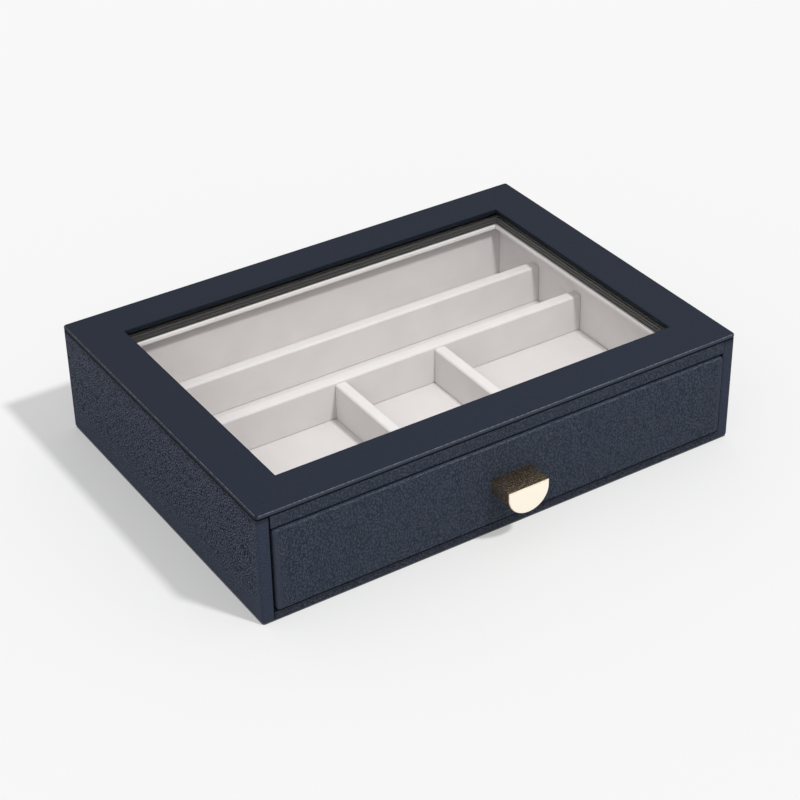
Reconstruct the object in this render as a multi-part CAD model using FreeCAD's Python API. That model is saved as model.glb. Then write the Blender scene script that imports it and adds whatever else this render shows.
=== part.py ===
import FreeCAD, Part
import os
from FreeCAD import Vector

# Glass-topped jewellery case with one velvet-lined drawer, in millimetres.
# The origin is the centre of the face the case stands on. +X runs to the right
# along the front, -Y is the front and +Z is up.

# Outer case
case_width = 250.0
case_depth = 180.0
case_height = 56.0
corner_radius = 1.6

# Boards and the leatherette that covers them
side_board = 5.0
back_board = 5.0
bottom_board = 2.5
header_board = 5.0
cover = 0.5
cover_return = 14.0
seam_radius = 0.6
fold_radius = 0.8

# Felt under the base
felt_proud = 0.8
felt_margin = 0.3
felt_corner_radius = 1.3

# Lid frame, pane, the beads under the pane and the velvet strips under the beads
lid_thickness = 2.0
lid_rail = 21.4
lid_corner_radius = 2.0
lid_edge_radius = 0.9
window_edge_radius = 0.6
glass_thickness = 2.0
glass_lip = 8.0
glass_clearance = 0.3
bead_setback = 1.8
bead_depth = 5.5
bead_leg = 3.7
strip_ledge = 1.0
strip_depth = 2.0
strip_radius = 0.3

# Rail over the drawer
header_height = 6.8

# Drawer front
front_board = 5.0
front_proud = 1.0
front_edge_radius = 0.9
front_corner_radius = 1.6
front_turn_in = 8.0
front_side_gap = 0.9
front_top_gap = 0.8
front_bottom_gap = 1.2

# Drawer box
drawer_board = 4.5
drawer_bottom_board = 3.5
drawer_bottom_lift = 3.1
drawer_side_gap = 1.0
runner_gap = 0.3
drawer_back_gap = 2.4

# Velvet tray
lining = 3.1
lip_thickness = 0.7
rim_drop = 4.4
rim_radius = 0.6
tray_floor_card = 3.9
divider = 5.9
divider_radius = 1.2
long_divider_height = 19.9
short_divider_height = 18.9
front_row_depth = 87.3
middle_cell_width = 48.9

# Half-moon pull and its two screws
pull_width = 21.2
pull_straight = 2.8
pull_reach = 13.5
pull_drop = 3.2
pull_bevel = 0.3
screw_spacing = 9.0
screw_drop = 6.5
screw_radius = 1.5
screw_grip = 8.0
screw_head_radius = 2.8
screw_head_height = 1.6
screw_clearance = 0.2
bore_spare = 1.0

# How far a cut runs past what it cuts, and how closely an edge has to lie on a plane
overrun = 1.0
tolerance = 0.001

# Case: the places that follow
half_width = case_width / 2
half_depth = case_depth / 2
case_front = -half_depth
case_back = half_depth
case_bottom = felt_proud
lid_bottom = case_height - lid_thickness
side_inner = half_width - side_board - 2 * cover
back_inner = case_back - cover - back_board
floor_top = case_bottom + bottom_board + 2 * cover
header_bottom = lid_bottom - header_height
header_back = case_front + header_board + 2 * cover

# Window, pane, beads and strips: the places that follow
window_x = half_width - lid_rail
window_y = half_depth - lid_rail
glass_x = window_x + glass_lip
glass_y = window_y + glass_lip
glass_bottom = lid_bottom - glass_thickness
bead_bottom = glass_bottom - bead_depth
bead_reach = glass_lip + glass_clearance + bead_leg
strip_bottom = bead_bottom - strip_depth

# Drawer front: the places that follow
front_face = case_front - front_proud
front_back = front_face + front_board + 2 * cover
front_half = side_inner - front_side_gap
front_bottom = floor_top + front_bottom_gap
front_top = header_bottom - front_top_gap
front_middle = (front_bottom + front_top) / 2

# Drawer box and tray: the places that follow
box_half = side_inner - drawer_side_gap
box_inner = box_half - drawer_board
box_bottom = floor_top + runner_gap
box_back = back_inner - drawer_back_gap
rim_top = front_top - rim_drop
board_top = rim_top - lip_thickness
drawer_floor = box_bottom + drawer_bottom_lift + drawer_bottom_board
tray_bottom = drawer_floor + tray_floor_card
tray_half = box_inner - lining
tray_front = front_back + lining
tray_back = box_back - drawer_board - lining
long_front_y = tray_front + front_row_depth
back_row_depth = (tray_back - long_front_y - 2 * divider) / 2
long_rear_y = long_front_y + divider + back_row_depth

# Pull: the places that follow
pull_radius = pull_width / 2
pull_height = pull_straight + pull_radius
pull_top = front_middle + pull_height / 2 - pull_drop
pull_front = front_face - pull_reach
screw_level = pull_top - screw_drop
head_seat = front_back - cover - screw_head_height - screw_clearance


def block(x0, x1, y0, y1, z0, z1):
    return Part.makeBox(x1 - x0, y1 - y0, z1 - z0, Vector(x0, y0, z0))


def edges(solid, test):
    return [edge for edge in solid.Edges if test(edge.BoundBox)]


def near(a, b):
    return abs(a - b) < tolerance


def at_level(z):
    return lambda box: near(box.ZMin, z) and near(box.ZMax, z)


def upright(box):
    return box.XLength < tolerance and box.YLength < tolerance


def along_x(box):
    return box.YLength < tolerance and box.ZLength < tolerance


def along_y(box):
    return box.XLength < tolerance and box.ZLength < tolerance


def rounded(solid, radius, test):
    return solid.makeFillet(radius, edges(solid, test))


def plate(x0, x1, y0, y1, z0, z1, radius):
    # A flat block whose upright corners are rounded
    return rounded(block(x0, x1, y0, y1, z0, z1), radius, upright)


# Case

def base_felt():
    x = half_width - felt_margin
    y = half_depth - felt_margin
    return plate(-x, x, -y, y, 0, case_bottom, felt_corner_radius)


def side_panel(side):
    # The outer upright edges are rounded to leave the cover an even thickness
    outer = side * (half_width - cover)
    inner = side * (side_inner + cover)
    panel = block(min(outer, inner), max(outer, inner), case_front + cover, case_back - cover,
                  case_bottom + cover, lid_bottom)
    return rounded(panel, corner_radius - cover, lambda box: upright(box) and near(box.XMin, outer))


def back_panel():
    return block(-side_inner, side_inner, back_inner, case_back - cover, case_bottom + cover, lid_bottom)


def bottom_panel():
    x = side_inner - cover
    return block(-x, x, case_front + cover, back_inner, case_bottom + cover, floor_top - cover)


def bottom_cover():
    # One sheet under the bottom panel, folded up round its ends and front and in over the top of it
    sheet = block(-side_inner, side_inner, case_front, back_inner, case_bottom, floor_top)
    sheet = rounded(sheet, seam_radius, lambda box: upright(box) and near(box.YMin, case_front))
    sheet = rounded(sheet, seam_radius, lambda box: not upright(box) and near(box.YMax, case_front))
    return sheet.cut([bottom_panel(), floor_lining()])


def floor_lining():
    return block(-side_inner, side_inner, case_front + cover_return, back_inner, floor_top - cover, floor_top)


def case_cover():
    # One sheet round both sides and the back, turned under them, folded over the front edges of the
    # sides and lining their inner faces
    sheet = plate(-half_width, half_width, case_front, case_back, case_bottom, lid_bottom, corner_radius)
    sheet = rounded(sheet, seam_radius, lambda box: at_level(case_bottom)(box) or at_level(lid_bottom)(box))
    inside = block(-side_inner, side_inner, case_front - overrun, back_inner,
                   case_bottom - overrun, lid_bottom + overrun)
    sheet = sheet.cut(inside)
    sheet = rounded(sheet, seam_radius,
                    lambda box: upright(box) and near(abs(box.XMin), side_inner)
                    and near(box.YMin, case_front))
    return sheet.cut([side_panel(-1), side_panel(1), back_panel()])


def header_panel():
    x = side_inner - cover
    return block(-x, x, case_front + cover, header_back - cover, header_bottom + cover, lid_bottom)


def header_cover():
    # Folded round the rail and its ends, open along the top where the lid closes it
    strip = block(-side_inner, side_inner, case_front, header_back, header_bottom, lid_bottom)
    strip = rounded(strip, seam_radius, lambda box: upright(box) and near(box.YMin, case_front))
    strip = rounded(strip, seam_radius, lambda box: not upright(box) and near(box.YMax, case_front))
    strip = rounded(strip, fold_radius,
                    lambda box: along_x(box) and near(box.ZMin, header_bottom)
                    and near(box.YMin, header_back))
    return strip.cut(header_panel())


# Lid

def window(spare):
    # The opening in the lid, made wider by the spare on every side
    x = window_x + spare
    y = window_y + spare
    return block(-x, x, -y, y, strip_bottom - overrun, case_height + overrun)


def round_window(spare):
    # Tells whether an edge lies within the opening made wider by the spare
    x = window_x + spare + tolerance
    y = window_y + spare + tolerance
    return lambda box: box.XMax < x and box.XMin > -x and box.YMax < y and box.YMin > -y


def lid_panel():
    x = half_width - cover
    y = half_depth - cover
    panel = plate(-x, x, -y, y, lid_bottom, case_height - cover, lid_corner_radius - cover)
    return panel.cut(window(cover))


def lid_cover():
    # Covers the top, the outer edge and the edge of the window
    sheet = plate(-half_width, half_width, case_front, case_back, lid_bottom, case_height, lid_corner_radius)
    sheet = rounded(sheet, lid_edge_radius, at_level(case_height))
    sheet = rounded(sheet, seam_radius, at_level(lid_bottom))
    sheet = sheet.cut(window(0))
    sheet = rounded(sheet, window_edge_radius,
                    lambda box: at_level(case_height)(box) and round_window(0)(box))
    return sheet.cut(lid_panel())


def glass_pane():
    return block(-glass_x, glass_x, -glass_y, glass_y, glass_bottom, lid_bottom)


def corners_round(spare, z):
    # The four corners of the window, moved out by the spare
    x = window_x + spare
    y = window_y + spare
    return [Vector(-x, -y, z), Vector(x, -y, z), Vector(x, y, z), Vector(-x, y, z)]


def mitred(ring, name, z0, z1):
    # A frame round the window, cut into four lengths along its mitres
    outer = corners_round(bead_reach, z0)
    inner = corners_round(0, z0)
    lengths = {}
    for i, side in enumerate(["front", "right", "back", "left"]):
        j = (i + 1) % len(outer)
        loop = Part.makePolygon([outer[i], outer[j], inner[j], inner[i], outer[i]])
        wedge = Part.Face(loop).extrude(Vector(0, 0, z1 - z0))
        lengths[name + "_" + side] = ring.common(wedge)
    return lengths


def bead_frame(z0, z1):
    x = window_x + bead_reach
    y = window_y + bead_reach
    return block(-x, x, -y, y, z0, z1)


def glass_beads():
    # Rebated for the pane, with the inner face set back from the edge of the window
    ring = bead_frame(bead_bottom, lid_bottom).cut(window(bead_setback))
    rebate_x = glass_x + glass_clearance
    rebate_y = glass_y + glass_clearance
    ring = ring.cut(block(-rebate_x, rebate_x, -rebate_y, rebate_y, glass_bottom, lid_bottom + overrun))
    return mitred(ring, "glass_bead", bead_bottom, lid_bottom)


def velvet_strips():
    # Velvet-covered card under the beads that shows as a narrow ledge inside them
    opening = bead_setback - strip_ledge
    ring = bead_frame(strip_bottom, bead_bottom).cut(window(opening))
    ring = rounded(ring, strip_radius, lambda box: round_window(opening)(box) and not upright(box))
    return mitred(ring, "lid_strip", strip_bottom, bead_bottom)


# Drawer front

def front_slab(inset):
    # The front as a block with round corners, drawn in on every side by the inset
    slab = block(-front_half + inset, front_half - inset, front_face + inset, front_back - inset,
                 front_bottom + inset, front_top - inset)
    return rounded(slab, front_corner_radius - inset, along_y)


def screw_places():
    return [Vector(side * screw_spacing / 2, 0, screw_level) for side in (-1, 1)]


def rod(place, radius, y0, y1):
    return Part.makeCylinder(radius, y1 - y0, Vector(place.x, y0, place.z), Vector(0, 1, 0))


def screw_holes():
    # Clearance holes through the front, with a recess for each head at the back
    holes = []
    for place in screw_places():
        holes.append(rod(place, screw_radius + screw_clearance, front_face - overrun, front_back))
        holes.append(rod(place, screw_head_radius + screw_clearance, head_seat, front_back))
    return holes


def drawer_front_panel():
    return front_slab(cover).cut(screw_holes())


def drawer_front_cover():
    # Wraps the face and all four edges, softly round the face, with a border turned in on the back
    wrap = rounded(front_slab(0), front_edge_radius, lambda box: near(box.YMax, front_face))
    opening = block(-front_half + front_turn_in, front_half - front_turn_in, front_face + cover,
                    front_back + overrun, front_bottom + front_turn_in, front_top - front_turn_in)
    return wrap.cut([front_slab(cover), opening] + screw_holes())


# Drawer box

def drawer_side(side):
    inner = side * box_inner
    outer = side * box_half
    return block(min(inner, outer), max(inner, outer), front_back, box_back, box_bottom, board_top)


def drawer_back():
    return block(-box_inner, box_inner, box_back - drawer_board, box_back, box_bottom, board_top)


def drawer_bottom():
    return block(-box_inner, box_inner, front_back, box_back - drawer_board,
                 drawer_floor - drawer_bottom_board, drawer_floor)


# Velvet tray

def tray_floor():
    return block(-tray_half, tray_half, tray_front, tray_back, drawer_floor, tray_bottom)


def lining_side(side):
    # Stands against the drawer side and lips over its top edge
    wall = sorted([side * tray_half, side * box_inner])
    lip = sorted([side * tray_half, side * box_half])
    solid = block(*wall, tray_front, tray_back, drawer_floor, rim_top)
    solid = solid.fuse(block(*lip, tray_front, tray_back, board_top, rim_top)).removeSplitter()
    return rounded(solid, rim_radius,
                   lambda box: along_y(box) and near(box.ZMin, rim_top) and near(box.XMin, side * tray_half))


def lining_back():
    solid = block(-box_inner, box_inner, tray_back, tray_back + lining, drawer_floor, rim_top)
    solid = solid.fuse(block(-box_inner, box_inner, tray_back, box_back, board_top, rim_top)).removeSplitter()
    return rounded(solid, rim_radius,
                   lambda box: along_x(box) and near(box.ZMin, rim_top) and near(box.YMin, tray_back))


def lining_front():
    solid = block(-box_inner, box_inner, front_back, tray_front, drawer_floor, rim_top)
    return rounded(solid, rim_radius,
                   lambda box: along_x(box) and near(box.ZMin, rim_top) and near(box.YMin, tray_front))


def long_divider(y):
    top = tray_bottom + long_divider_height
    solid = block(-tray_half, tray_half, y, y + divider, tray_bottom, top)
    return rounded(solid, divider_radius, lambda box: along_x(box) and near(box.ZMin, top))


def short_divider(side):
    near_x = side * middle_cell_width / 2
    far_x = near_x + side * divider
    top = tray_bottom + short_divider_height
    solid = block(min(near_x, far_x), max(near_x, far_x), tray_front, long_front_y, tray_bottom, top)
    return rounded(solid, divider_radius, lambda box: along_y(box) and near(box.ZMin, top))


# Pull

def pull():
    # Flat on top, straight for a little way down each side, then a half circle
    spring_line = pull_top - pull_straight
    left = Vector(-pull_radius, front_face, pull_top)
    right = Vector(pull_radius, front_face, pull_top)
    left_spring = Vector(-pull_radius, front_face, spring_line)
    right_spring = Vector(pull_radius, front_face, spring_line)
    lowest = Vector(0, front_face, spring_line - pull_radius)
    outline = Part.Wire([
        Part.makeLine(left, right),
        Part.makeLine(right, right_spring),
        Part.Arc(right_spring, lowest, left_spring).toShape(),
        Part.makeLine(left_spring, left),
    ])
    solid = Part.Face(outline).extrude(Vector(0, -pull_reach, 0))
    solid = solid.makeChamfer(pull_bevel, edges(solid, lambda box: near(box.YMax, pull_front)))
    depth = screw_grip + bore_spare
    bores = [rod(place, screw_radius + screw_clearance, front_face - depth, front_face + overrun)
             for place in screw_places()]
    return solid.cut(bores)


def pull_screws():
    screws = []
    for place in screw_places():
        shank = rod(place, screw_radius, front_face - screw_grip, head_seat)
        head = rod(place, screw_head_radius, head_seat, head_seat + screw_head_height)
        screws.append(shank.fuse(head).removeSplitter())
    return Part.makeCompound(screws)


nodes = {
    "base_felt": base_felt(),
    "left_side_board": side_panel(-1),
    "right_side_board": side_panel(1),
    "back_board": back_panel(),
    "bottom_board": bottom_panel(),
    "bottom_cover": bottom_cover(),
    "floor_lining": floor_lining(),
    "case_cover": case_cover(),
    "header_board": header_panel(),
    "header_cover": header_cover(),
    "lid_board": lid_panel(),
    "lid_cover": lid_cover(),
    "glass_pane": glass_pane(),
    **glass_beads(),
    **velvet_strips(),
    "drawer_front_board": drawer_front_panel(),
    "drawer_front_cover": drawer_front_cover(),
    "drawer_left_side": drawer_side(-1),
    "drawer_right_side": drawer_side(1),
    "drawer_back": drawer_back(),
    "drawer_bottom": drawer_bottom(),
    "tray_floor": tray_floor(),
    "lining_left": lining_side(-1),
    "lining_right": lining_side(1),
    "lining_front": lining_front(),
    "lining_back": lining_back(),
    "divider_long_front": long_divider(long_front_y),
    "divider_long_rear": long_divider(long_rear_y),
    "divider_short_left": short_divider(-1),
    "divider_short_right": short_divider(1),
    "pull": pull(),
    "pull_screws": pull_screws(),
}

os.makedirs("parts", exist_ok=True)
for name, shape in nodes.items():
    shape.exportStep("parts/" + name + ".step")
    print(name, len(shape.Solids), shape.isValid(), round(shape.Volume, 1))
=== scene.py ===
import math

import bmesh
import bpy
from mathutils import Matrix, Vector


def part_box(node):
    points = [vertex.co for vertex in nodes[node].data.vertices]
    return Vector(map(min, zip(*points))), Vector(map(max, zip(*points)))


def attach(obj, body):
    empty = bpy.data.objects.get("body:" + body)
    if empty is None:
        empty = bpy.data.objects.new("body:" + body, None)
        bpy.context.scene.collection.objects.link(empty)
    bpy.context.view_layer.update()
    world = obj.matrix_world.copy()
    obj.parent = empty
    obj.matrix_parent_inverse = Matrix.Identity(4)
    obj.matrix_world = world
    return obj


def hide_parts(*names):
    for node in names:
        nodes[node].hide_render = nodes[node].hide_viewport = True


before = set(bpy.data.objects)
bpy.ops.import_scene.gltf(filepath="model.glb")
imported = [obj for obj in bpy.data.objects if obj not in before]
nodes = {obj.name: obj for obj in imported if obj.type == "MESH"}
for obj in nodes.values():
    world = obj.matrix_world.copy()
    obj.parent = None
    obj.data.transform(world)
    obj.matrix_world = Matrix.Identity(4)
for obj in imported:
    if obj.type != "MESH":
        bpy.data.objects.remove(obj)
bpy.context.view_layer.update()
mm = 0.001  # every size below is in millimetres


def cornersOf(node):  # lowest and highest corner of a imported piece, in millimetres
    return tuple(Vector(corner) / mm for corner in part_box(node))


caseLow, caseHigh = cornersOf("case_cover")
lidLow, lidHigh = cornersOf("lid_cover")
frontLow, frontHigh = cornersOf("drawer_front_cover")
headerLow, headerHigh = cornersOf("header_cover")
baseLow, baseHigh = cornersOf("bottom_cover")
paneLow, paneHigh = cornersOf("glass_pane")


# camera, from the case's corners in the photograph

photoCamera = {
    "lens": 94.164,
    "sensor": 36.0,
    "target": (-7.93, -14.53, 28.0),
    "distance": 957.91,
    "azimuth": -32.319,
    "elevation": 33.280,
    "roll": -1.074,
}


def placeCamera(setup):
    azimuth, elevation, roll = (math.radians(setup[key]) for key in ("azimuth", "elevation", "roll"))
    back = Vector((math.sin(azimuth) * math.cos(elevation), -math.cos(azimuth) * math.cos(elevation),
                   math.sin(elevation)))
    level = (-back).cross(Vector((0, 0, 1))).normalized()
    upward = level.cross(-back)
    right = level * math.cos(roll) + upward * math.sin(roll)
    up = upward * math.cos(roll) - level * math.sin(roll)
    data = bpy.data.cameras.new("photoCamera")
    data.lens = setup["lens"]
    data.sensor_width = setup["sensor"]
    camera = bpy.data.objects.new("photoCamera", data)
    bpy.context.scene.collection.objects.link(camera)
    place = Matrix((right, up, back)).transposed().to_4x4()
    place.translation = (Vector(setup["target"]) + back * setup["distance"]) * mm
    camera.matrix_world = place
    bpy.context.scene.camera = camera


placeCamera(photoCamera)
print("camera placed")


# shader helpers

def addNode(tree, kind, settings=None, **inputs):
    made = tree.nodes.new("ShaderNode" + kind)
    for key, value in (settings or {}).items():
        setattr(made, key, value)
    for key, value in inputs.items():
        feed(tree, made.inputs[int(key[1:]) if key[0] == "i" and key[1:].isdigit() else key], value)
    return made


def feed(tree, socket, value):
    if isinstance(value, bpy.types.NodeSocket):
        tree.links.new(value, socket)
    else:
        socket.default_value = value


def startMaterial(name):
    material = bpy.data.materials.new(name)
    material.use_nodes = True
    tree = material.node_tree
    tree.nodes.clear()
    surface = addNode(tree, "BsdfPrincipled")
    addNode(tree, "OutputMaterial", Surface=surface.outputs[0])
    return material, tree, surface


def setSurface(tree, surface, values):
    for key, value in values.items():
        feed(tree, surface.inputs[key], value)


def objectPlace(tree):
    return addNode(tree, "TexCoord").outputs["Object"]


def stretched(tree, vector, scale, turn=(0, 0, 0)):
    if any(turn):  # turned first, so the stretch runs along the turned axes
        spin = tuple(math.radians(angle) for angle in turn)
        vector = addNode(tree, "Mapping", Vector=vector, Rotation=spin).outputs[0]
    return addNode(tree, "Mapping", Vector=vector, Scale=scale).outputs[0]


noiseMost = (0.3, 0.7)  # most of a noise lies between these
noiseCore = (0.42, 0.58)
fineNoise = {"detail": 3, "rough": 0.6}


def noiseOf(tree, vector, scale, detail=2.0, rough=0.5):  # scale per metre
    return addNode(tree, "TexNoise", Vector=vector, Scale=scale, Detail=detail, Roughness=rough)


def ranged(tree, value, low, high, newLow, newHigh, smooth=False):
    style = {"interpolation_type": "SMOOTHSTEP" if smooth else "LINEAR"}
    made = addNode(tree, "MapRange", style, Value=value)
    for key, number in (("From Min", low), ("From Max", high), ("To Min", newLow), ("To Max", newHigh)):
        made.inputs[key].default_value = number
    return made.outputs["Result"]


def blended(tree, share, first, second):
    made = addNode(tree, "Mix", {"data_type": "RGBA"})
    feed(tree, made.inputs["Factor"], share)
    feed(tree, made.inputs[6], first)
    feed(tree, made.inputs[7], second)
    return made.outputs[2]


def worked(tree, operation, *values):
    made = addNode(tree, "Math", {"operation": operation})
    for socket, value in zip(made.inputs, values):
        feed(tree, socket, value)
    return made.outputs[0]


def summed(tree, first, second, share):
    return worked(tree, "MULTIPLY_ADD", second, share, first)


def multiplied(tree, first, second):
    return worked(tree, "MULTIPLY", first, second)


def facingAlong(tree, axis, kind="Normal"):  # how far the surface faces along an axis
    return addNode(tree, "SeparateXYZ", Vector=addNode(tree, "NewGeometry").outputs[kind]).outputs[axis]


def bumped(tree, height, depth, strength, normal=None):
    made = addNode(tree, "Bump", Height=height, Distance=depth * mm, Strength=strength)
    if normal is not None:
        tree.links.new(normal, made.inputs["Normal"])
    return made.outputs["Normal"]


# millimetres inward from a flat face, given as (axis, place, outward sign), with a barred axis for both sides

def faceGap(tree, where, face):
    axis, at, sign = face
    along = addNode(tree, "SeparateXYZ", Vector=where).outputs[axis.strip("|")]
    if axis[0] == "|":
        along = worked(tree, "ABSOLUTE", along)
    return worked(tree, "MULTIPLY_ADD", along, -sign / mm, sign * at)


def nearest(tree, gaps):
    least = gaps[0]
    for gap in gaps[1:]:
        least = worked(tree, "MINIMUM", least, gap)
    return least


# where two faces turn into each other over a radius: 0 at the middle of the turn, 0.41 at its ends

def foldGap(tree, where, folds):
    gaps = []
    for first, second, radius in folds:
        both = worked(tree, "ADD", faceGap(tree, where, first), faceGap(tree, where, second))
        gaps.append(worked(tree, "MULTIPLY_ADD", both, 1 / radius, math.sqrt(2) - 2))
    return nearest(tree, gaps)


def seamGap(tree, where, seams):
    return nearest(tree, [worked(tree, "ABSOLUTE", faceGap(tree, where, face)) for face in seams])


# navy leatherette, pebbled on the walls and nearly smooth on the lid

lidRail = 21.4  # width of the lid's four rails
noFade = (-20, -10)  # ends under the table, so nothing fades
leatherLooks = {
    "wallLeather": {
        "cell": 1.15, "stretch": (1.0, 0.9, 1.0), "turn": (0, 0, 0), "depth": 0.20, "strength": 0.95, "pebble": 0.36,
        "crease": (0.0036, 0.0058, 0.0130, 1), "crown": (0.0510, 0.0628, 0.0945, 1),
        "contrast": (1.8, 2.5), "middle": 0.35,
        "tint": 0.10, "warp": 0.3, "patch": 60, "fade": (4, 24), "calm": (("Y", caseLow.y, -1), 1.0, 6.0), "grainContrastOffLeftWall": 0.26,
        "gloss": 0.05, "rough": (0.66, 0.50),
        "folds": [(("Y", caseLow.y, -1), ("|X|", headerHigh.x, -1), 0.6),
                  (("Y", caseLow.y, -1), ("Z", caseLow.z, -1), 0.6)],
        "seams": [("Z", caseHigh.z, 1), ("X", headerLow.x, -1)], "shade": 0.45, "rub": 0.2, "dash": 0.1,
    },
    "frontLeather": {
        "cell": 0.84, "stretch": (0.45, 1.0, 1.1), "turn": (0, 55, 0), "depth": 0.20, "strength": 0.9, "pebble": 0.28,
        "crease": (0.0156, 0.0207, 0.0326, 1), "crown": (0.0492, 0.0586, 0.0818, 1),
        "contrast": (0.75, 1.1), "middle": 0.56,
        "tint": 0.10, "warp": 0.2, "patch": 45, "fade": noFade, "calm": (("|X|", frontHigh.x, 1), 1.0, 4.0),
        "gloss": 0.05, "rough": (0.64, 0.50),
        "folds": [(("Y", frontLow.y, -1), ("Z", frontHigh.z, 1), 0.9),
                  (("Y", frontLow.y, -1), ("Z", frontLow.z, -1), 0.9),
                  (("Y", frontLow.y, -1), ("X", frontHigh.x, 1), 0.9)],
        "seams": [], "shade": 0.0, "rub": 0.35, "dash": 0.1,
    },
    "railLeather": {
        "cell": 0.84, "stretch": (0.45, 1.0, 1.1), "turn": (0, 55, 0), "depth": 0.18, "strength": 0.85, "pebble": 0.28,
        "crease": (0.0160, 0.0208, 0.0320, 1), "crown": (0.0445, 0.0530, 0.0735, 1),
        "contrast": (0.7, 1.0), "middle": 0.54,
        "tint": 0.10, "warp": 0.2, "patch": 45, "fade": (4, 24), "calm": (("X", headerLow.x, -1), 1.0, 4.0),
        "gloss": 0.05, "rough": (0.64, 0.50),
        "folds": [(("Y", headerLow.y, -1), ("Z", headerLow.z, -1), 0.6),
                  (("Y", headerLow.y, -1), ("Z", headerHigh.z, 1), 0.6)],
        "seams": [("Z", caseHigh.z, 1), ("X", headerLow.x, -1)], "shade": 0.0, "rub": 0.3, "dash": 0.1,
    },
    # painted shade: the base lip gets a darker copy of the rail leather, as it sits low in shade by the table
    "shadedBaseLeather": {
        "cell": 0.8, "stretch": (0.5, 1.0, 1.1), "turn": (0, 52, 0), "depth": 0.18, "strength": 0.85, "pebble": 0.3,
        "crease": (0.0110, 0.0145, 0.0226, 1), "crown": (0.0415, 0.0490, 0.0670, 1),
        "contrast": (0.9, 1.5), "middle": 0.45,
        "tint": 0.10, "warp": 0.25, "patch": 45, "fade": noFade, "gloss": 0.05, "rough": (0.66, 0.54),
        "folds": [(("Y", baseLow.y, -1), ("Z", baseHigh.z, 1), 0.6)],
        "seams": [("Z", baseLow.z, -1)], "shade": 0.0, "rub": 0.5, "dash": 0.3,
    },
    "lidLeather": {
        "cell": 1.1, "stretch": (1.0, 1.0, 1.0), "turn": (0, 0, 20), "depth": 0.03, "strength": 0.25, "pebble": 0.34,
        "crease": (0.0082, 0.0114, 0.0198, 1), "crown": (0.0093, 0.0130, 0.0223, 1),
        "contrast": (0.5, 1.0), "middle": 0.585,
        "tint": 0.55, "warp": 0.9, "patch": 30, "fade": noFade, "gloss": 0.08, "rough": (0.58, 0.52),
        "folds": [(("|X|", lidHigh.x, 1), ("Z", lidHigh.z, 1), 0.9),
                  (("|Y|", lidHigh.y, 1), ("Z", lidHigh.z, 1), 0.9)],
        # painted light: edge is the paler colour of the lid's front-facing edge
        "seams": [], "shade": 0.0, "rub": 0.7, "dash": 0.4, "edge": (0.027, 0.033, 0.048, 1),
        "window": [("|X|", lidHigh.x - lidRail, 1), ("|Y|", lidHigh.y - lidRail, 1)],
    },
}
leatherWear = {
    "rubColour": (0.115, 0.122, 0.14, 1),  # painted highlight and edge wear: pale where the sheet turns an edge
    "rubEnds": (0.07, 0.0),
    # painted shade: near black for the seam grooves and for the line along the table
    "seamShadeColour": (0.002, 0.0025, 0.004, 1),
    # painted shade on the window's cut edge
    "stainColour": (0.0030, 0.0055, 0.0080, 1),
    "seamShadeEnds": (0.55, 0.40),
    "shadeEnds": (3.5, 0.3),  # painted shade: a soft darkening on the wall below the lid seam
    "seamShadeShare": 0.95,
    "dashScale": 700,
    "windowEnds": (-0.9, -0.25),
    "windowShare": 0.9,
}
leatherSheet = {  # what all of them share
    "wanderScale": 420,
    "poreScale": 3600,
    "poreShare": 0.35,
    "swellScale": 22,
    "swellDepth": 0.35,
    "swellStrength": 0.25,
    "footContrast": 0.12,  # at the lower end of the fade
    "calmContrast": 0.2,  # where the sheet was pulled round
    "patchEnds": (0.35, 0.65),
    "leftward": (-0.5, -0.9),
    "frontward": (-0.6, -0.95),
    "middleShare": 0.47,
    "grainTop": 1.3,
}


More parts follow.
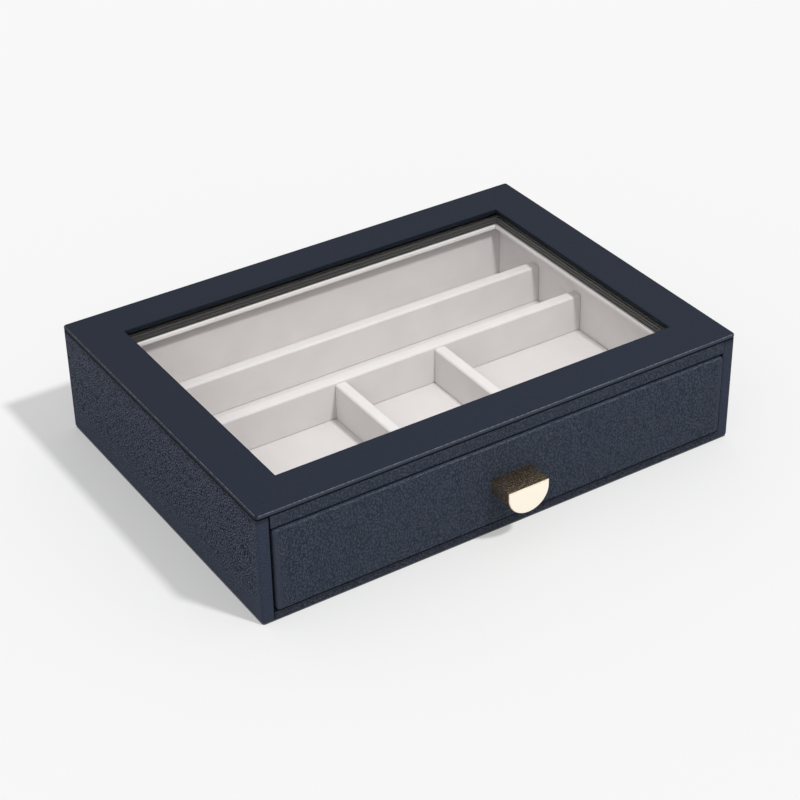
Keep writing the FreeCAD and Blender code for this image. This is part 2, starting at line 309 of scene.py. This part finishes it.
def leatherMaterial(name, look, sheet, wear):
    material, tree, surface = startMaterial(name)
    where = objectPlace(tree)
    place = stretched(tree, where, look["stretch"], look["turn"])
    wander = noiseOf(tree, place, sheet["wanderScale"]).outputs["Color"]
    warped = addNode(tree, "VectorMath", {"operation": "MULTIPLY_ADD"}, i0=wander, i1=(look["warp"] * mm,) * 3,
                     i2=place).outputs[0]
    pitch = 1 / (look["cell"] * mm)
    cells = addNode(tree, "TexVoronoi", {"feature": "DISTANCE_TO_EDGE"}, Vector=warped, Scale=pitch).outputs["Distance"]
    tints = addNode(tree, "TexVoronoi", Vector=warped, Scale=pitch).outputs["Color"]
    pebble = ranged(tree, cells, 0.0, look["pebble"], 0.0, 1.0, True)
    pores = noiseOf(tree, place, sheet["poreScale"]).outputs["Fac"]
    grain = summed(tree, pebble, pores, sheet["poreShare"])
    swell = noiseOf(tree, place, sheet["swellScale"], detail=1).outputs["Fac"]
    normal = bumped(tree, swell, sheet["swellDepth"], sheet["swellStrength"])
    normal = bumped(tree, grain, look["depth"], look["strength"], normal)

    # how strongly the pebbles stand out: by patches, less near the table as painted light (the glints fade low down),
    # and less where the sheet was pulled round
    height = addNode(tree, "SeparateXYZ", Vector=where).outputs["Z"]
    contrast = ranged(tree, height, *(level * mm for level in look["fade"]), sheet["footContrast"], 1.0, True)
    if "grainContrastOffLeftWall" in look:  # painted light: the pebbles keep their full colour contrast only on the left wall, for the glints and shade the light raises there, and are evened out elsewhere
        left = ranged(tree, facingAlong(tree, "X", "True Normal"), *sheet["leftward"], 0.0, 1.0, True)
        contrast = addNode(tree, "Mix", i0=left, i2=look["grainContrastOffLeftWall"], i3=contrast).outputs[0]
    patches = noiseOf(tree, where, look["patch"]).outputs["Fac"]
    contrast = multiplied(tree, contrast, ranged(tree, patches, *sheet["patchEnds"], *look["contrast"]))
    if "calm" in look:
        face, begin, end = look["calm"]
        calm = ranged(tree, faceGap(tree, where, face), begin, end, sheet["calmContrast"], 1.0, True)
        contrast = multiplied(tree, contrast, calm)
    lean = summed(tree, pebble, addNode(tree, "SeparateColor", Color=tints).outputs[0], look["tint"])
    lean = worked(tree, "SUBTRACT", lean, look["middle"] + look["tint"] / 2)
    share = addNode(tree, "Math", {"operation": "MULTIPLY_ADD", "use_clamp": True}, i0=lean, i1=contrast,
                    i2=sheet["middleShare"]).outputs[0]
    colour = blended(tree, share, look["crease"], look["crown"])
    if "edge" in look:  # painted light: the lid's front-facing edge is made paler, as it faces the lamps
        front = ranged(tree, facingAlong(tree, "Y", "True Normal"), *sheet["frontward"], 0.0, 1.0, True)
        colour = blended(tree, front, colour, look["edge"])

    # painted highlight and edge wear, pale along the folded edges in broken dashes; painted shade, dark down in the
    # seams
    rub = ranged(tree, foldGap(tree, where, look["folds"]), *wear["rubEnds"], 0.0, look["rub"], True)
    breaks = noiseOf(tree, where, wear["dashScale"]).outputs["Fac"]
    dashes = ranged(tree, breaks, *noiseCore, look["dash"], 1.0, True)
    colour = blended(tree, multiplied(tree, rub, dashes), colour, wear["rubColour"])
    if look["seams"]:
        if look["shade"]:
            # painted shade: soft darkening below the lid seam
            stain = ranged(tree, seamGap(tree, where, look["seams"][:1]), *wear["shadeEnds"], 0.0, look["shade"], True)
            colour = blended(tree, stain, colour, wear["seamShadeColour"])
        # painted shade: near black down in the seam grooves and along the table
        seamShade = ranged(tree, seamGap(tree, where, look["seams"]), *wear["seamShadeEnds"], 0.0, wear["seamShadeShare"], True)
        colour = blended(tree, seamShade, colour, wear["seamShadeColour"])
    if "window" in look:  # painted shade: the cut edge round the window is made dark, as it sits in shade
        inward = nearest(tree, [faceGap(tree, where, face) for face in look["window"]])
        windowShade = ranged(tree, inward, *wear["windowEnds"], 0.0, wear["windowShare"], True)
        colour = blended(tree, windowShade, colour, wear["stainColour"])
    setSurface(tree, surface, {
        "Base Color": colour,
        "Roughness": ranged(tree, grain, 0.0, sheet["grainTop"], *look["rough"]),
        "Specular IOR Level": look["gloss"],
        "Normal": normal,
    })
    return material


leathers = {name: leatherMaterial(name, look, leatherSheet, leatherWear) for name, look in leatherLooks.items()}


# short-pile velvet of the tray and of the strips under the pane

velvetFinish = {
    "low": (0.504, 0.477, 0.473, 1),
    "high": (0.637, 0.603, 0.598, 1),
    "flat": (0.458, 0.434, 0.430, 1),  # painted shade: darker on faces that look upward
    "flatShare": 0.40,
    "flatFacing": (0.3, 0.95),
    "napScale": 55,
    "napShares": (0.25, 0.6),
    "pileScale": 1500,
    "pileRough": 0.7,
    "pileShare": 0.35,
    "pileDepth": 0.16,
    "pileStrength": 0.6,
    "rough": 0.95,
    "gloss": 0.1,
    "sheen": 0.15,
    "sheenRough": 0.45,
}


def velvetMaterial(name, finish):
    material, tree, surface = startMaterial(name)
    place = objectPlace(tree)
    nap = noiseOf(tree, place, finish["napScale"], **fineNoise).outputs["Fac"]
    pile = noiseOf(tree, place, finish["pileScale"], fineNoise["detail"], finish["pileRough"]).outputs["Fac"]
    share = summed(tree, ranged(tree, nap, *noiseMost, *finish["napShares"]), pile, finish["pileShare"])
    # painted shade: upward faces are darkened
    topShade = ranged(tree, facingAlong(tree, "Z"), *finish["flatFacing"], 0.0, finish["flatShare"], True)
    setSurface(tree, surface, {
        "Base Color": blended(tree, topShade, blended(tree, share, finish["low"], finish["high"]), finish["flat"]),
        "Roughness": finish["rough"],
        "Specular IOR Level": finish["gloss"],
        "Sheen Weight": finish["sheen"],
        "Sheen Roughness": finish["sheenRough"],
        "Normal": bumped(tree, pile, finish["pileDepth"], finish["pileStrength"]),
    })
    return material


litStripFinish = {  # painted light: the same pile, made paler as a lit copy of the tray velvet
    **velvetFinish,
    "low": (0.575, 0.538, 0.532, 1),
    "high": (0.702, 0.660, 0.650, 1),
    "flatShare": 0.0,
}
velvet = velvetMaterial("trayVelvet", velvetFinish)
litStripVelvet = velvetMaterial("litStripVelvet", litStripFinish)


# pane: sees through, and mirrors more at a slant

paneFinish = {
    "tint": (0.979, 0.982, 0.98, 1),
    "headOn": 0.015,
    "power": 5.5,
    "blend": 0.5,
    "mirrorRough": 0.02,
}


def paneMaterial(name, finish):
    material, tree, surface = startMaterial(name)
    tree.nodes.remove(surface)
    slant = addNode(tree, "LayerWeight", Blend=finish["blend"]).outputs["Facing"]
    curve = worked(tree, "POWER", slant, finish["power"])
    share = ranged(tree, curve, 0.0, 1.0, finish["headOn"], 1.0)
    clear = addNode(tree, "BsdfTransparent", Color=finish["tint"]).outputs[0]
    mirror = addNode(tree, "BsdfGlossy", Roughness=finish["mirrorRough"]).outputs[0]
    both = addNode(tree, "MixShader", i0=share, i1=clear, i2=mirror).outputs[0]
    tree.links.new(both, tree.nodes["Material Output"].inputs["Surface"])
    return material


pane = paneMaterial("paneGlass", paneFinish)


# pull: painted reflection, pale on the face for the bright table it mirrors and a deeper mottled tone on the sides and
# top for the leather they mirror

pullFinish = {
    "face": (1.0, 0.92, 0.78, 1),
    "sideReflectionLow": (0.60, 0.41, 0.23, 1),
    "sideReflectionHigh": (0.96, 0.74, 0.47, 1),
    "rough": (0.04, 0.07),
    "sideRough": 0.18,
    "forward": (-0.5, -0.95),
    "mottleScale": 1300,
    "speckle": 0.10,
    "speckleStrength": 0.5,
    "speckleEnd": 0.5,  # no speckle past this share of the face
    # painted light: the face is made part non-metallic so it reads brighter
    "faceMetallicPaintedLight": 0.72,
    "brushScale": 900,
    "brushStretch": (1, 14, 14),
    "brush": 0.006,
    "brushStrength": 0.2,
}


def pullMaterial(name, finish):
    material, tree, surface = startMaterial(name)
    place = stretched(tree, objectPlace(tree), finish["brushStretch"])
    brush = noiseOf(tree, place, finish["brushScale"], **fineNoise).outputs["Fac"]
    share = ranged(tree, facingAlong(tree, "Y"), *finish["forward"], 0.0, 1.0, True)
    spots = noiseOf(tree, objectPlace(tree), finish["mottleScale"]).outputs["Fac"]
    mottle = ranged(tree, spots, *noiseCore, 0.0, 1.0, True)
    side = blended(tree, mottle, finish["sideReflectionLow"], finish["sideReflectionHigh"])
    pits = multiplied(tree, mottle, ranged(tree, share, 0.0, finish["speckleEnd"], 1.0, 0.0))
    shine = ranged(tree, brush, *noiseMost, *finish["rough"])
    rough = summed(tree, shine, ranged(tree, share, 0.0, 1.0, finish["sideRough"], 0.0), 1.0)
    brushed = bumped(tree, brush, finish["brush"], finish["brushStrength"])
    setSurface(tree, surface, {
        # painted reflection: pale face, mottled sides and top
        "Base Color": blended(tree, share, side, finish["face"]),
        "Metallic": ranged(tree, share, 0.0, 1.0, 1.0, finish["faceMetallicPaintedLight"]),
        "Roughness": rough,
        "Normal": bumped(tree, pits, finish["speckle"], finish["speckleStrength"], brushed),
    })
    return material


pullBrass = pullMaterial("pullBrass", pullFinish)


# board, paper, felt and screw finishes

plainLooks = {
    "screwSteel": {"low": (0.50, 0.50, 0.49, 1), "high": (0.66, 0.66, 0.64, 1), "scale": 1400, "stretch": (1, 6, 1),
                   "depth": 0.01, "strength": 0.3, "surface": {"Metallic": 1.0, "Roughness": 0.32}},
    "fibreBoard": {"low": (0.30, 0.20, 0.12, 1), "high": (0.50, 0.37, 0.24, 1), "scale": 900, "stretch": (1, 1, 2.5),
                   "depth": 0.06, "strength": 0.5, "surface": {"Roughness": 0.85}},
    "drawerPaper": {"low": (0.020, 0.022, 0.030, 1), "high": (0.034, 0.037, 0.048, 1), "scale": 1300,
                    "stretch": (1, 1, 1), "depth": 0.03, "strength": 0.4, "surface": {"Roughness": 0.7}},
    "baseFelt": {"low": (0.016, 0.018, 0.026, 1), "high": (0.045, 0.050, 0.064, 1), "scale": 1700,
                 "stretch": (1, 1, 1), "depth": 0.2, "strength": 0.8,
                 "surface": {"Roughness": 0.95, "Sheen Weight": 0.3, "Sheen Roughness": 0.5}},
}


def plainMaterial(name, look):
    material, tree, surface = startMaterial(name)
    place = stretched(tree, objectPlace(tree), look["stretch"])
    fibre = noiseOf(tree, place, look["scale"], **fineNoise).outputs["Fac"]
    setSurface(tree, surface, look["surface"])
    setSurface(tree, surface, {
        "Base Color": blended(tree, ranged(tree, fibre, *noiseMost, 0.0, 1.0), look["low"], look["high"]),
        "Normal": bumped(tree, fibre, look["depth"], look["strength"]),
    })
    return material


plain = {name: plainMaterial(name, look) for name, look in plainLooks.items()}


# bead: black, with painted shade making it near black down in its grooves, and a little paler on the ridges between
# them

beadInner = (cornersOf("glass_bead_right")[0].x, cornersOf("glass_bead_back")[0].y)
beadFinish = {
    "grooveShadeColour": (0.002, 0.002, 0.0024, 1),
    "ridge": (0.030, 0.029, 0.026, 1),
    "ends": (0.25, 0.05),
    "rough": (0.45, 0.6),
    "gritScale": 700,
    "gritShares": (0.7, 1.0),
    "gritDepth": 0.01,
    "gritStrength": 0.2,
}


def beadMaterial(name, finish):
    material, tree, surface = startMaterial(name)
    where = objectPlace(tree)
    gaps = [faceGap(tree, where, face) for face in (("|X|", beadInner[0], -1), ("|Y|", beadInner[1], -1))]
    behind = worked(tree, "MAXIMUM", *gaps)  # how far behind the inner face
    grit = noiseOf(tree, where, finish["gritScale"], **fineNoise).outputs["Fac"]
    # painted shade: near black in the grooves, paler on the ridge fronts
    rubbed = ranged(tree, behind, *finish["ends"], 0.0, 1.0, True)
    share = multiplied(tree, rubbed, ranged(tree, grit, *noiseMost, *finish["gritShares"]))
    setSurface(tree, surface, {
        "Base Color": blended(tree, share, finish["grooveShadeColour"], finish["ridge"]),
        "Roughness": ranged(tree, grit, *noiseMost, *finish["rough"]),
        "Normal": bumped(tree, grit, finish["gritDepth"], finish["gritStrength"]),
    })
    return material


beadPlastic = beadMaterial("beadPlastic", beadFinish)
print("materials:", len(bpy.data.materials))


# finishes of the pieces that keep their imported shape

nodeFinishes = {
    "base_felt": plain["baseFelt"],
    "floor_lining": plain["baseFelt"],
    "left_side_board": plain["drawerPaper"],
    "right_side_board": plain["drawerPaper"],
    "back_board": plain["drawerPaper"],
    "bottom_board": plain["fibreBoard"],
    "header_board": plain["drawerPaper"],
    "lid_board": plain["fibreBoard"],
    "drawer_front_board": plain["fibreBoard"],
    "case_cover": leathers["wallLeather"],
    "bottom_cover": leathers["shadedBaseLeather"],
    "header_cover": leathers["railLeather"],
    "drawer_front_cover": leathers["frontLeather"],
    "glass_pane": pane,
    "drawer_left_side": plain["drawerPaper"],
    "drawer_right_side": plain["drawerPaper"],
    "drawer_back": plain["drawerPaper"],
    "drawer_bottom": plain["drawerPaper"],
    "pull": pullBrass,
    "pull_screws": plain["screwSteel"],
}
for name, finish in nodeFinishes.items():
    nodes[name].data.materials[0] = finish
print("finishes on", len(nodeFinishes), "packed pieces")


# new pieces: made in a bmesh, smoothed, ridden and set in the node's place

sides = ("Front", "Right", "Back", "Left")
sharpAngle = 40  # degrees
weldGap = 0.001


def addPiece(name, shape, body, node, finish):
    bmesh.ops.recalc_face_normals(shape, faces=shape.faces)
    mesh = bpy.data.meshes.new(name)
    shape.to_mesh(mesh)
    shape.free()
    mesh.shade_smooth()
    mesh.set_sharp_from_angle(angle=math.radians(sharpAngle))
    mesh.materials.append(finish)
    piece = bpy.data.objects.new(name, mesh)
    bpy.context.scene.collection.objects.link(piece)
    even = piece.modifiers.new("evenShade", "WEIGHTED_NORMAL")
    even.keep_sharp = True
    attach(piece, body)
    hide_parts(node)


def arcPoints(middle, radius, start, end, steps):
    turns = [math.radians(start + (end - start) * i / steps) for i in range(steps + 1)]
    return [(middle[0] + radius * math.cos(turn), middle[1] + radius * math.sin(turn)) for turn in turns]


def frameLoop(halfX, halfY, radius, steps):
    points = []
    for signX, signY, first in ((1, 1, 0), (-1, 1, 90), (-1, -1, 180), (1, -1, 270)):
        middle = (signX * (halfX - radius), signY * (halfY - radius))
        points += arcPoints(middle, radius, first, first + 90, steps)
    return points


def sweptFrame(profile, setup):
    shape = bmesh.new()
    rings = []
    for inset, height in profile:
        radius = max(setup["corner"] - inset, 0.0)
        loop = frameLoop(setup["halfX"] - inset, setup["halfY"] - inset, radius, setup["cornerSteps"])
        rings.append([shape.verts.new((x * mm, y * mm, height * mm)) for x, y in loop])
    for inner, outer in zip(rings, rings[1:] + rings[:1]):
        for i in range(len(inner)):
            j = (i + 1) % len(inner)
            shape.faces.new((inner[i], inner[j], outer[j], outer[i]))
    bmesh.ops.remove_doubles(shape, verts=shape.verts, dist=weldGap * mm)
    return shape


def lidProfile(setup):
    low, high, sheet, rail = (setup[key] for key in ("low", "high", "sheet", "rail"))
    seam, outer, window = (setup[key] for key in ("seamRound", "outerRound", "windowRound"))
    points = arcPoints((seam, low + seam), seam, 270, 180, setup["seamSteps"])
    points += arcPoints((outer, high - outer), outer, 180, 90, setup["outerSteps"])
    points += arcPoints((rail - window, high - window), window, 90, 0, setup["windowSteps"])
    points += [(rail, low), (rail - sheet, low), (rail - sheet, high - sheet), (sheet, high - sheet), (sheet, low)]
    return points


# lid frame: one sheet over the top, the outer edge and the window's edge

lidFrame = {
    "halfX": lidHigh.x,
    "halfY": lidHigh.y,
    "corner": 1.5,
    "cornerSteps": 6,
    "rail": lidRail,
    "low": lidLow.z,
    "high": lidHigh.z,
    "sheet": 0.5,
    "outerRound": 0.9,
    "outerSteps": 8,
    "windowRound": 0.6,
    "windowSteps": 6,
    "seamRound": 0.6,
    "seamSteps": 4,
}
addPiece("lidLeather", sweptFrame(lidProfile(lidFrame), lidFrame), "case", "lid_cover",
         leathers["lidLeather"])


# velvet-covered boards: every edge is soft where the cloth turns it

velvetEdges = {
    "turn": 0.55,
    "steps": 3,
    "dividerTop": 1.2,
    "dividerSteps": 5,
    "wall": 3.1,
    "lip": 0.7,
    "lipTurnShare": 0.45,
}
softenAbove = 0.6  # radians between two faces
levelWithin = 0.01
velvetBoards = {
    "trayFloor": {"node": "tray_floor", "kind": "slab"},
    "liningFront": {"node": "lining_front", "kind": "slab"},
    "liningBack": {"node": "lining_back", "kind": "lipped", "toward": (0, 1)},
    "liningLeft": {"node": "lining_left", "kind": "lipped", "toward": (-1, 0)},
    "liningRight": {"node": "lining_right", "kind": "lipped", "toward": (1, 0)},
    "dividerLongFront": {"node": "divider_long_front", "kind": "divider"},
    "dividerLongRear": {"node": "divider_long_rear", "kind": "divider"},
    "dividerShortLeft": {"node": "divider_short_left", "kind": "divider"},
    "dividerShortRight": {"node": "divider_short_right", "kind": "divider"},
}


def prism(outline, sweep):
    shape = bmesh.new()
    near = [shape.verts.new(point) for point in outline]
    far = [shape.verts.new(Vector(point) + Vector(sweep)) for point in outline]
    shape.faces.new(near)
    shape.faces.new(far[::-1])
    for i in range(len(near)):
        j = (i + 1) % len(near)
        shape.faces.new((near[i], far[i], far[j], near[j]))
    bmesh.ops.recalc_face_normals(shape, faces=shape.faces)
    return shape


def soften(shape, radius, steps, test=lambda edge: True):
    sharp = [edge for edge in shape.edges if edge.is_convex and edge.calc_face_angle(0) > softenAbove and test(edge)]
    bmesh.ops.bevel(shape, geom=sharp, offset=radius * mm, offset_type="OFFSET", segments=steps, profile=0.5,
                    affect="EDGES", clamp_overlap=True)


def boardOutline(low, high, board):
    if board["kind"] != "lipped":
        return [(low.x, low.y, low.z), (high.x, low.y, low.z), (high.x, high.y, low.z), (low.x, high.y, low.z)]
    wall, lip = velvetEdges["wall"] * mm, velvetEdges["lip"] * mm
    towardX = board["toward"][0]
    depth = [0.0, wall, wall, high.x - low.x if towardX else high.y - low.y]
    height = [low.z, low.z, high.z - lip, high.z - lip]
    steps = list(zip(depth, height)) + [(depth[3], high.z), (0.0, high.z)]
    if towardX:
        start = low.x if towardX > 0 else high.x
        return [(start + towardX * out, low.y, level) for out, level in steps]
    return [(low.x, low.y + out, level) for out, level in steps]


def velvetBoard(board):
    low, high = (Vector(corner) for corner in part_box(board["node"]))
    size = high - low
    outline = boardOutline(low, high, board)
    if board["kind"] == "lipped":
        shape = prism(outline, (0, size.y, 0) if board["toward"][0] else (size.x, 0, 0))
    else:
        shape = prism(outline, (0, 0, size.z))
    if board["kind"] == "divider":
        long = 0 if size.x > size.y else 1
        soften(shape, velvetEdges["dividerTop"], velvetEdges["dividerSteps"],
               lambda edge: all(vert.co.z > high.z - levelWithin * mm for vert in edge.verts)
               and abs(edge.verts[0].co[1 - long] - edge.verts[1].co[1 - long]) < levelWithin * mm)
    turn = velvetEdges["turn"] if board["kind"] != "lipped" else velvetEdges["lip"] * velvetEdges["lipTurnShare"]
    soften(shape, turn, velvetEdges["steps"])
    return shape


for name, board in velvetBoards.items():
    addPiece(name, velvetBoard(board), "drawer", board["node"], velvet)
print("velvet boards:", len(velvetBoards))


# mitred velvet strips under the beads

stripRight, stripBack = cornersOf("lid_strip_right"), cornersOf("lid_strip_back")
lidStrips = {
    "inner": (stripRight[0].x, stripBack[0].y),
    "outer": (stripRight[1].x, stripBack[1].y),
    "low": stripRight[0].z,
    "high": stripRight[1].z,
    "turn": 0.3,
    "steps": 3,
    "gap": 0.12,  # left open at the mitres
}


def lidStrip(setup, side):
    (innerX, innerY), (outerX, outerY) = setup["inner"], setup["outer"]
    gap = setup["gap"]
    if side in ("Front", "Back"):
        sign = -1 if side == "Front" else 1
        corners = [(innerX - gap, sign * innerY), (-innerX + gap, sign * innerY), (-outerX + gap, sign * outerY),
                   (outerX - gap, sign * outerY)]
    else:
        sign = -1 if side == "Left" else 1
        corners = [(sign * innerX, -innerY + gap), (sign * innerX, innerY - gap), (sign * outerX, outerY - gap),
                   (sign * outerX, -outerY + gap)]
    shape = prism([(x * mm, y * mm, setup["low"] * mm) for x, y in corners],
                  (0, 0, (setup["high"] - setup["low"]) * mm))
    soften(shape, setup["turn"], setup["steps"])
    return shape


for side in sides:
    addPiece("lidStrip" + side, lidStrip(lidStrips, side), "case", "lid_strip_" + side.lower(),
             litStripVelvet)
print("lid frame and strips made")


# mitred beads under the pane: rebated for it, with fine grooves run along the inner face

beadLow, beadHigh = cornersOf("glass_bead_right")
paneClearance = 0.3
glassBeads = {
    "inner": beadInner,
    "reach": beadHigh.x - beadLow.x,
    "rebate": paneHigh.x + paneClearance - beadLow.x,
    "low": beadLow.z,
    "shelf": paneLow.z,
    "high": beadHigh.z,
    "turn": 0.3,
    "turnSteps": 3,
    "grooves": (0.9, 2.6, 4.3),  # heights above the bead's foot
    "grooveHalf": 0.42,
    "grooveDepth": 0.6,
}


def beadProfile(setup):
    turn, half = setup["turn"], setup["grooveHalf"]
    points = arcPoints((turn, setup["low"] + turn), turn, 270, 180, setup["turnSteps"])
    for rise in setup["grooves"]:
        level = setup["low"] + rise
        points += [(0, level - half), (setup["grooveDepth"], level), (0, level + half)]
    points += [(0, setup["shelf"]), (setup["rebate"], setup["shelf"]), (setup["rebate"], setup["high"]),
               (setup["reach"], setup["high"]), (setup["reach"], setup["low"])]
    return points


def glassBead(setup, side):
    shape = bmesh.new()
    ends = {"Front": ((-1, -1), (1, -1)), "Right": ((1, -1), (1, 1)), "Back": ((1, 1), (-1, 1)),
            "Left": ((-1, 1), (-1, -1))}[side]
    rings = []
    for signX, signY in ends:
        rings.append([shape.verts.new((signX * (setup["inner"][0] + out) * mm, signY * (setup["inner"][1] + out) * mm,
                                       level * mm)) for out, level in beadProfile(setup)])
    shape.faces.new(rings[0])
    shape.faces.new(rings[1][::-1])
    for i in range(len(rings[0])):
        j = (i + 1) % len(rings[0])
        shape.faces.new((rings[0][i], rings[1][i], rings[1][j], rings[0][j]))
    return shape


for side in sides:
    addPiece("glassBead" + side, glassBead(glassBeads, side), "case", "glass_bead_" + side.lower(),
             beadPlastic)
print("beads made")


# table and studio light

studio = {
    "tableHalf": 6.0,
    "tableDrop": 0.1,
    "tableColour": (0.33, 0.33, 0.33, 1),
    "glowColour": (1, 1, 1, 1),
    "tableGlow": 0.35,
    "roomColour": (1.0, 1.0, 1.0, 1),
    "roomStrength": 0.90,
    "sunStrength": 3.48,
    "sunToward": (0.37, -0.65, 1.0),
    "sunDistance": 1000,
    "sunAngle": 5.0,
    "keyPlace": (45, -250, 510),
    "keyAim": (0, 0, 30),
    "keySize": 60,
    "keyPower": 2.7,
    "fillPlace": (-600, -250, 500),
    "fillSize": 500,
    "fillPower": 1.8,
}


def addTable(setup):
    half = setup["tableHalf"]
    drop = -setup["tableDrop"] * mm
    mesh = bpy.data.meshes.new("table")
    mesh.from_pydata([(-half, -half, drop), (half, -half, drop), (half, half, drop), (-half, half, drop)], [],
                     [(0, 1, 2, 3)])
    table = bpy.data.objects.new("table", mesh)
    bpy.context.scene.collection.objects.link(table)
    material, tree, surface = startMaterial("paleTable")
    setSurface(tree, surface, {"Base Color": setup["tableColour"], "Roughness": 1.0, "Specular IOR Level": 0.0,
                               "Emission Color": setup["glowColour"], "Emission Strength": setup["tableGlow"]})
    mesh.materials.append(material)
    return table


def addLight(name, kind, place, aim, values):
    data = bpy.data.lights.new(name, kind)
    for key, value in values.items():
        setattr(data, key, value)
    light = bpy.data.objects.new(name, data)
    bpy.context.scene.collection.objects.link(light)
    light.location = Vector(place) * mm
    light.rotation_mode = "QUATERNION"
    light.rotation_quaternion = (Vector(aim) - Vector(place)).to_track_quat("-Z", "Y")
    return light


def lightReaches(light, table, reaches):
    group = bpy.data.collections.new(light.name + "Reach")
    group.objects.link(table)
    group.collection_objects[0].light_linking.link_state = "INCLUDE" if reaches else "EXCLUDE"
    light.light_linking.receiver_collection = group


def addStudio(setup):
    world = bpy.data.worlds.new("room")
    bpy.context.scene.world = world
    world.use_nodes = True
    room = world.node_tree.nodes["Background"]
    room.inputs["Color"].default_value = setup["roomColour"]
    room.inputs["Strength"].default_value = setup["roomStrength"]
    table = addTable(setup)
    sun = addLight("tableSun", "SUN", Vector(setup["sunToward"]) * setup["sunDistance"], (0, 0, 0),
                   {"energy": setup["sunStrength"], "angle": math.radians(setup["sunAngle"])})
    lightReaches(sun, table, True)
    key = addLight("keyLight", "AREA", setup["keyPlace"], setup["keyAim"],
                   {"energy": setup["keyPower"], "shape": "DISK", "size": setup["keySize"] * mm})
    lightReaches(key, table, False)
    key.visible_glossy = False  # no glare of the lamp itself in the pull
    fill = addLight("fillLight", "AREA", setup["fillPlace"], setup["keyAim"],
                    {"energy": setup["fillPower"], "shape": "DISK", "size": setup["fillSize"] * mm})
    lightReaches(fill, table, False)
    view = bpy.context.scene.view_settings
    view.view_transform = "Standard"
    view.look = "None"


addStudio(studio)
print("studio lit")
